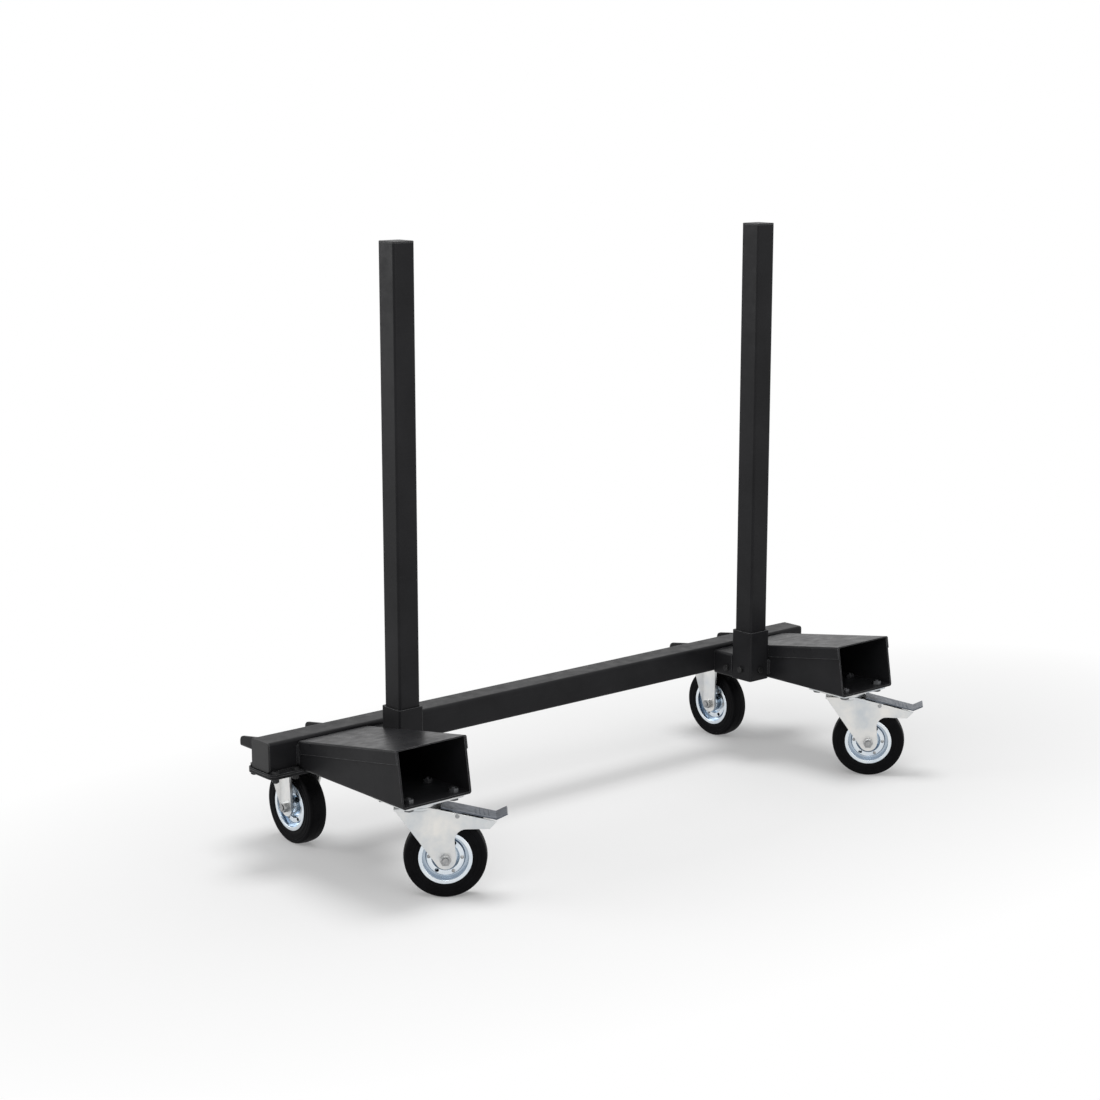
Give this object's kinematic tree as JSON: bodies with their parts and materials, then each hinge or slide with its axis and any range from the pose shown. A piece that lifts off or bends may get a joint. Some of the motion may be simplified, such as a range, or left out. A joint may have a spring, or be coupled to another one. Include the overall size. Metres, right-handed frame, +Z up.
{
  "type": "panel trolley",
  "caption": "Low panel trolley: sloping folded-steel feet tied by a square beam, upright posts in clamp sockets, braked swivel castors in front and fixed castors behind.",
  "frame": {"origin": "on the floor, halfway along the outside length and depth, castors as at rest", "axes": "+X along the tie beam to the right foot, +Y from the open front of the feet to the back, +Z up"},
  "size_m": [1.506, 0.6298, 1.221],
  "materials": {
    "black_paint": "fine black powder coat",
    "zinc_steel": "bright zinc plating",
    "black_steel": "black oxide on bolts and screws",
    "rubber": "matt black solid rubber",
    "brake_rubber": "matt black",
    "plastic": "black moulded",
    "pedal_paint": "dark blue-grey",
    "bearing_steel": "polished"
  },
  "bodies": {
    "frame": {"beam_end_caps": "plastic", "castor_bolts": "zinc_steel", "clamp_screws": "black_steel", "flange_bolts": "black_steel", "left_beam_flange": "black_paint", "left_foot": "black_paint", "left_foot_cover": "black_paint", "left_foot_tongue": "black_paint", "left_front_king_pin": "zinc_steel", "left_front_plate": "zinc_steel", "left_front_race": "zinc_steel", "left_post_socket": "black_paint", "left_rear_axle": "zinc_steel", "left_rear_bracket": "zinc_steel", "left_socket_link": "black_paint", "link_bolts": "black_steel", "right_beam_flange": "black_paint", "right_foot": "black_paint", "right_foot_cover": "black_paint", "right_foot_tongue": "black_paint", "right_front_king_pin": "zinc_steel", "right_front_plate": "zinc_steel", "right_front_race": "zinc_steel", "right_post_socket": "black_paint", "right_rear_axle": "zinc_steel", "right_rear_bracket": "zinc_steel", "right_socket_link": "black_paint", "tie_beam": "black_paint"},
    "left_post": {"left_post": "black_paint", "left_post_cap": "plastic"},
    "left_front_swivel": {"left_front_fork": "zinc_steel", "left_front_balls": "bearing_steel", "left_front_pedal_pin": "zinc_steel", "left_front_axle": "zinc_steel"},
    "left_front_pedal": {"left_front_pedal": "pedal_paint", "left_front_brake_shoe": "brake_rubber"},
    "left_front_wheel": {"left_front_tyre": "rubber", "left_front_rim": "zinc_steel", "left_front_hub": "zinc_steel", "left_front_rollers": "bearing_steel"},
    "left_rear_wheel": {"left_rear_tyre": "rubber", "left_rear_rim": "zinc_steel", "left_rear_hub": "zinc_steel", "left_rear_rollers": "bearing_steel"},
    "right_post": {"right_post": "black_paint", "right_post_cap": "plastic"},
    "right_front_swivel": {"right_front_fork": "zinc_steel", "right_front_balls": "bearing_steel", "right_front_pedal_pin": "zinc_steel", "right_front_axle": "zinc_steel"},
    "right_front_pedal": {"right_front_pedal": "pedal_paint", "right_front_brake_shoe": "brake_rubber"},
    "right_front_wheel": {"right_front_tyre": "rubber", "right_front_rim": "zinc_steel", "right_front_hub": "zinc_steel", "right_front_rollers": "bearing_steel"},
    "right_rear_wheel": {"right_rear_tyre": "rubber", "right_rear_rim": "zinc_steel", "right_rear_hub": "zinc_steel", "right_rear_rollers": "bearing_steel"}
  },
  "joints": [
    {"name": "left_post_slide", "type": "slide", "parent": "frame", "child": "left_post", "axis": [0, 0, 1], "range_m": [0, 0.06]},
    {"name": "left_front_swivel_turn", "type": "hinge", "parent": "frame", "child": "left_front_swivel", "pos_m": [-0.6, -0.17306, 0.2], "axis": [0, 0, 1], "continuous": true},
    {"name": "left_front_wheel_spin", "type": "hinge", "parent": "left_front_swivel", "child": "left_front_wheel", "pos_m": [-0.5606, -0.20384, 0.08], "axis": [0.6157, 0.788, 0], "continuous": true},
    {"name": "left_front_pedal_press", "type": "hinge", "parent": "left_front_swivel", "child": "left_front_pedal", "pos_m": [-0.54248, -0.218, 0.165], "axis": [0.6157, 0.788, 0], "range_deg": [0, 12]},
    {"name": "left_rear_wheel_spin", "type": "hinge", "parent": "frame", "child": "left_rear_wheel", "pos_m": [-0.6, 0.23494, 0.08], "axis": [1, 0, 0], "continuous": true},
    {"name": "right_post_slide", "type": "slide", "parent": "frame", "child": "right_post", "axis": [0, 0, 1], "range_m": [0, 0.06]},
    {"name": "right_front_swivel_turn", "type": "hinge", "parent": "frame", "child": "right_front_swivel", "pos_m": [0.6, -0.17306, 0.2], "axis": [0, 0, 1], "continuous": true},
    {"name": "right_front_wheel_spin", "type": "hinge", "parent": "right_front_swivel", "child": "right_front_wheel", "pos_m": [0.6328, -0.2108, 0.08], "axis": [0.7547, 0.6561, 0], "continuous": true},
    {"name": "right_front_pedal_press", "type": "hinge", "parent": "right_front_swivel", "child": "right_front_pedal", "pos_m": [0.64789, -0.22815, 0.165], "axis": [0.7547, 0.6561, 0], "range_deg": [0, 12]},
    {"name": "right_rear_wheel_spin", "type": "hinge", "parent": "frame", "child": "right_rear_wheel", "pos_m": [0.6, 0.23494, 0.08], "axis": [1, 0, 0], "continuous": true}
  ]
}
